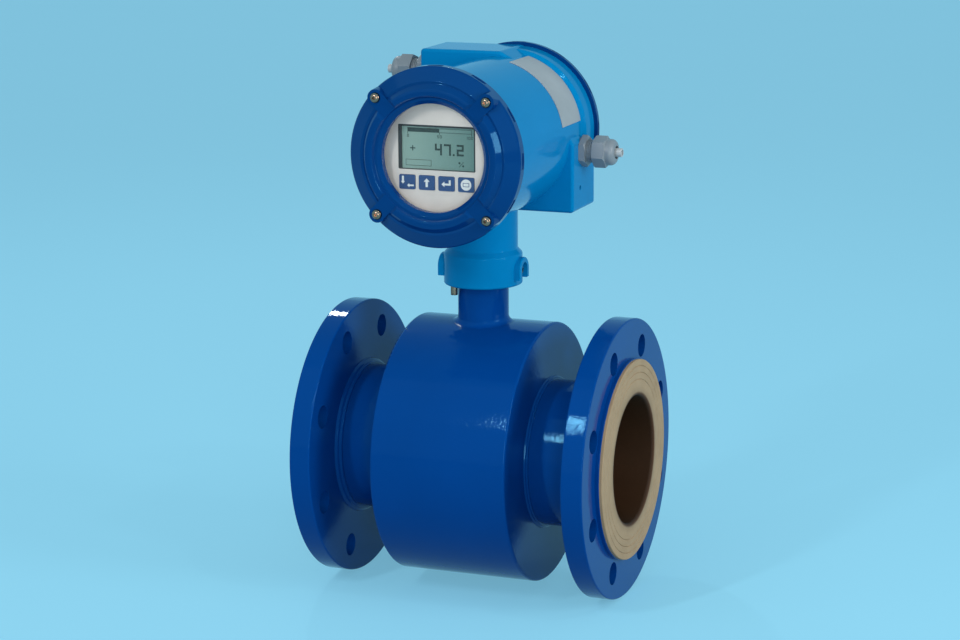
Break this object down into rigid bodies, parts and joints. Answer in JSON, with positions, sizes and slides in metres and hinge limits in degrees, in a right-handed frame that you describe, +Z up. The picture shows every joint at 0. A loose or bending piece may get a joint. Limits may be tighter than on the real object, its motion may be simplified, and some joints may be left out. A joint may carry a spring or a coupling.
{
  "type": "electromagnetic flow meter",
  "caption": "Flanged electromagnetic flow meter: lined pipe section inside a coil drum, with a neck that carries a round display head with keys, cable glands and a blank rear cover.",
  "frame": {"origin": "centre of the flow bore, midway between the two sealing faces", "axes": "+X along the pipe, +Z up the neck, and the display faces -Y"},
  "size_m": [0.25, 0.22, 0.4236],
  "materials": {
    "royal_blue_paint": "gloss",
    "light_blue_paint": "gloss",
    "dark_blue_paint": "gloss",
    "hard_rubber_lining": "matte",
    "soft_iron": "machined",
    "copper_winding": "enamelled wire",
    "stainless_steel": "polished",
    "insulating_plastic": "matte",
    "seal_rubber": "matte",
    "window_glass": "clear",
    "blank_plate": "satin",
    "faceplate_grey": "satin",
    "bezel_black": "satin",
    "display_glass": "satin",
    "key_blue": "satin",
    "circuit_board": "satin",
    "plated_brass": "plated",
    "potting_black": "matte",
    "cable_grey": "matte",
    "gland_grey": "satin",
    "plug_grey": "satin"
  },
  "bodies": {
    "sensor": {"measuring_tube": "royal_blue_paint", "liner": "hard_rubber_lining", "right_flange": "royal_blue_paint", "left_flange": "royal_blue_paint", "drum_shell": "royal_blue_paint", "right_drum_end": "royal_blue_paint", "left_drum_end": "royal_blue_paint", "upper_pole_shoe": "soft_iron", "lower_pole_shoe": "soft_iron", "upper_core": "soft_iron", "lower_core": "soft_iron", "upper_coil": "copper_winding", "lower_coil": "copper_winding", "yoke_ring": "soft_iron", "front_electrode": "stainless_steel", "rear_electrode": "stainless_steel", "front_electrode_bush": "insulating_plastic", "rear_electrode_bush": "insulating_plastic", "electrode_nuts": "stainless_steel", "coil_terminal_strip": "insulating_plastic", "neck_tube": "royal_blue_paint", "neck_seal": "seal_rubber"},
    "converter": {"converter_housing": "light_blue_paint", "set_screws": "stainless_steel", "earth_screw": "stainless_steel", "front_cover": "dark_blue_paint", "front_cover_seal": "seal_rubber", "front_cover_screws": "stainless_steel", "window_glass": "window_glass", "window_gasket": "seal_rubber", "rear_cover": "dark_blue_paint", "rear_cover_seal": "seal_rubber", "rear_cover_screws": "stainless_steel", "name_plate": "blank_plate", "faceplate": "faceplate_grey", "lcd_bezel": "bezel_black", "lcd_panel": "display_glass", "display_carrier": "insulating_plastic", "display_board": "circuit_board", "electronics_board": "circuit_board", "board_pillars": "plated_brass", "power_supply": "potting_black", "terminal_block": "insulating_plastic", "signal_cable": "cable_grey", "right_gland_body": "gland_grey", "right_gland_nut": "gland_grey", "right_gland_seal": "seal_rubber", "right_gland_plug": "plug_grey", "left_gland_body": "gland_grey", "left_gland_nut": "gland_grey", "left_gland_seal": "seal_rubber", "left_gland_plug": "plug_grey"},
    "key_1_cap": {"key_1": "key_blue"},
    "key_2_cap": {"key_2": "key_blue"},
    "key_3_cap": {"key_3": "key_blue"},
    "key_4_cap": {"key_4": "key_blue"}
  },
  "joints": [
    {"name": "head_swivel", "type": "hinge", "parent": "sensor", "child": "converter", "pos_m": [0, 0, 0.144], "axis": [0, 0, 1], "range_deg": [-175, 175]},
    {"name": "key_1_press", "type": "slide", "parent": "converter", "child": "key_1_cap", "axis": [0, 1, 0], "range_m": [0, 0.0008], "stiffness_N_per_m": 1500, "springref_m": -0.0005},
    {"name": "key_2_press", "type": "slide", "parent": "converter", "child": "key_2_cap", "axis": [0, 1, 0], "range_m": [0, 0.0008], "stiffness_N_per_m": 1500, "springref_m": -0.0005},
    {"name": "key_3_press", "type": "slide", "parent": "converter", "child": "key_3_cap", "axis": [0, 1, 0], "range_m": [0, 0.0008], "stiffness_N_per_m": 1500, "springref_m": -0.0005},
    {"name": "key_4_press", "type": "slide", "parent": "converter", "child": "key_4_cap", "axis": [0, 1, 0], "range_m": [0, 0.0008], "stiffness_N_per_m": 1500, "springref_m": -0.0005}
  ]
}
